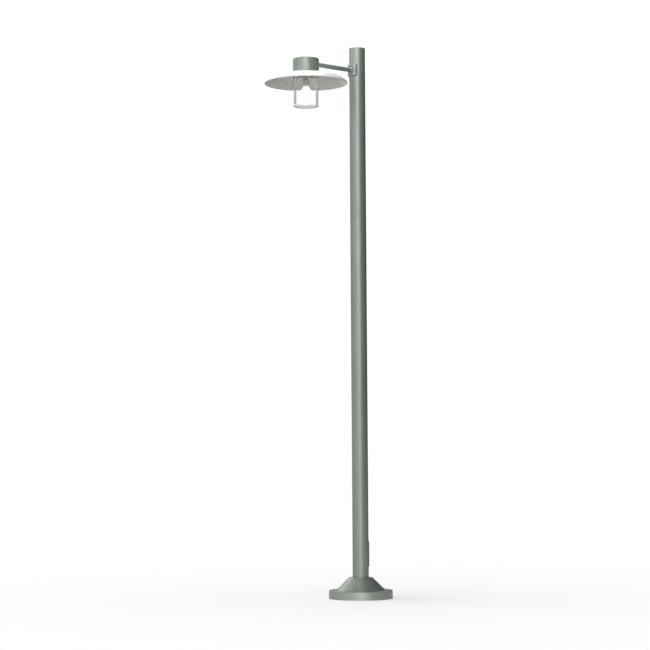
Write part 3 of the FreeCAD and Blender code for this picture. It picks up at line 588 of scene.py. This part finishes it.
# ---- studio --------------------------------------------------------------------------------------
# Soft lights far off: azimuth from the camera's, below 0 to its left, elevation, how tightly the
# light is gathered, and its strength.
STUDIO_LIGHTS = {
    "key": (-120.0, 32.0, 30.0, 4.2),
    "key_rear": (-150.0, 32.0, 30.0, 2.2),
    "rear": (180.0, 32.0, 30.0, 1.9),
    "high_left": (-90.0, 60.0, 30.0, 1.7),
    "strip_low": (11.0, 0.0, 30.0, 4.9),
    "strip_middle": (0.0, 15.0, 30.0, 1.4),
    "strip_left": (-11.0, 15.0, 30.0, 3.2),
    "fill_near": (-30.0, 12.0, 8.0, 0.9),
    "fill_left": (-60.0, 12.0, 8.0, 0.85)}
WHITE = tint(1, 1, 1)

# The white behind the object, and what shows through glass: bright straight behind, dim beside.
# The change from one to the other is between two cosines of the angle from straight ahead.
BACKDROP = 1.05
SEEN_THROUGH = 1.35
ROOM_BESIDE = 0.34
BESIDE_TO_BEHIND = (0.86, 0.985)

# Square light over the lantern, in metres and watts.
LANTERN_LIGHT = 4.2
LANTERN_LIGHT_SIZE = 0.5
LANTERN_LIGHT_RISE = 0.6
LANTERN_LIGHT_SIDESTEP = 0.08

# The floor's glow for the eye, and its light on the object: round the foot, between, and far off on
# the left. Rises and fades are between two distances from the foot, as powers of ten of metres, but
# the last is between two distances to the right, in metres.
FLOOR_HALF_WIDTH = 40.0
# The floor's glow near the foot is a painted shadow, lower there and centred a step to the camera's right.
FLOOR_GLOW_IN_PAINTED_SHADOW = 0.62
FLOOR_GLOW_FAR = 0.80
PAINTED_SHADOW_SIDESTEP = 0.1
FLOOR_BOUNCE_NEAR = 0.76
FLOOR_BOUNCE_MIDDLE = 0.17
FLOOR_BOUNCE_LEFT = 1.1
PAINTED_SHADOW_FADE = (-0.9, 0.7)
NEAR_BOUNCE_FADE = (-0.4, 0.1)
FAR_BOUNCE_RISE = (0.5, 1.1)
LEFT_TO_RIGHT_FADE = (-5.0, 3.5)


def seen_directly(tree):
    """1 for what the eye sees, straight or through glass, and 0 for light that reaches the object."""
    path = node(tree, "LightPath")
    crossed_glass = calculate(tree, "MINIMUM", path.outputs["Transmission Depth"], 1.0)
    unscattered = calculate(tree, "SUBTRACT", crossed_glass, path.outputs["Diffuse Depth"], clamp=True)
    return calculate(tree, "MAXIMUM", path.outputs["Is Camera Ray"], unscattered)


def light_studio():
    world = bpy.data.worlds.new("studio")
    bpy.context.scene.world = world
    world.use_nodes = True
    tree = world.node_tree
    way = node(tree, "TexCoord").outputs["Generated"]
    total = 0.0
    for azimuth, elevation, tightness, strength in STUDIO_LIGHTS.values():
        towards = compass(CAMERA_AZIMUTH + azimuth, elevation)
        along = calculate_vector(tree, "DOT_PRODUCT", way, towards)
        power = calculate(tree, "MULTIPLY_ADD", along, tightness, -tightness)
        lobe = calculate(tree, "EXPONENT", power)
        total = calculate(tree, "MULTIPLY_ADD", lobe, strength, total)
    lights = node(tree, "Background", {"Strength": total}).outputs[0]
    ahead = calculate_vector(tree, "DOT_PRODUCT", way, AHEAD)
    through_glass = spread(tree, ahead, ROOM_BESIDE, SEEN_THROUGH, *BESIDE_TO_BEHIND)
    straight = node(tree, "LightPath").outputs["Is Camera Ray"]
    white = spread(tree, straight, through_glass, BACKDROP, 0.0, 1.0)
    backdrop = node(tree, "Background", {"Color": WHITE, "Strength": white}).outputs[0]
    mixed = node(tree, "MixShader", {0: seen_directly(tree), 1: lights, 2: backdrop}).outputs[0]
    tree.links.new(mixed, tree.nodes["World Output"].inputs["Surface"])


def light_lantern():
    """Soft square light close above the lantern, for its white top."""
    data = bpy.data.lights.new("lantern_light", "AREA")
    data.size = LANTERN_LIGHT_SIZE
    data.energy = LANTERN_LIGHT
    light = bpy.data.objects.new("lantern_light", data)
    bpy.context.scene.collection.objects.link(light)
    light.location = centre_of("lamp_cap") + UP * LANTERN_LIGHT_RISE + RIGHTWARDS * LANTERN_LIGHT_SIDESTEP
    light.visible_camera = False
    light.visible_transmission = False


def make_floor():
    """Pale sweep, brighter to the eye than to the object, with a painted shadow: a little dimmer round the
    object's foot.
    """
    half = FLOOR_HALF_WIDTH
    corners = [(-half, -half, 0), (half, -half, 0), (half, half, 0), (-half, half, 0)]
    mesh = bpy.data.meshes.new("floor")
    mesh.from_pydata(corners, [], [(0, 1, 2, 3)])
    floor = bpy.data.objects.new("floor", mesh)
    bpy.context.scene.collection.objects.link(floor)
    material, shader = new_finish("pale_floor", Roughness=0.9, Specular_IOR_Level=0.0)
    tree = material.node_tree
    dress(material, shader, blend(tree, noise(tree, 0.4), tint(0.47, 0.47, 0.47), tint(0.50, 0.50, 0.50)))

    # Painted shadow: the glow dims towards a point a step to the right of the foot.
    offset = calculate_vector(tree, "SUBTRACT", place(tree), RIGHTWARDS * PAINTED_SHADOW_SIDESTEP)
    distance = calculate_vector(tree, "LENGTH", offset)
    decades = calculate(tree, "LOGARITHM", distance, 10.0)
    glow = spread(tree, decades, FLOOR_GLOW_IN_PAINTED_SHADOW, FLOOR_GLOW_FAR, *PAINTED_SHADOW_FADE)
    glowing = node(tree, "Emission", {"Color": WHITE, "Strength": glow}).outputs[0]
    bright = node(tree, "AddShader", {0: shader.outputs[0], 1: glowing}).outputs[0]

    near = spread(tree, decades, FLOOR_BOUNCE_NEAR, FLOOR_BOUNCE_MIDDLE, *NEAR_BOUNCE_FADE)
    to_right = calculate_vector(tree, "DOT_PRODUCT", place(tree), RIGHTWARDS)
    left = spread(tree, to_right, FLOOR_BOUNCE_LEFT, 0.0, *LEFT_TO_RIGHT_FADE)
    far_left = spread(tree, decades, 0.0, left, *FAR_BOUNCE_RISE)
    returned = calculate(tree, "ADD", near, far_left)
    bounce = node(tree, "Emission", {"Color": WHITE, "Strength": returned}).outputs[0]
    mixed = node(tree, "MixShader", {0: seen_directly(tree), 1: bounce, 2: bright}).outputs[0]
    tree.links.new(mixed, tree.nodes["Material Output"].inputs["Surface"])
    mesh.materials.append(material)


finish_cad_nodes()
make_shade()
make_glass()
make_welds()
make_floor()
light_studio()
light_lantern()
make_camera()
bpy.context.scene.view_settings.view_transform = "Standard"
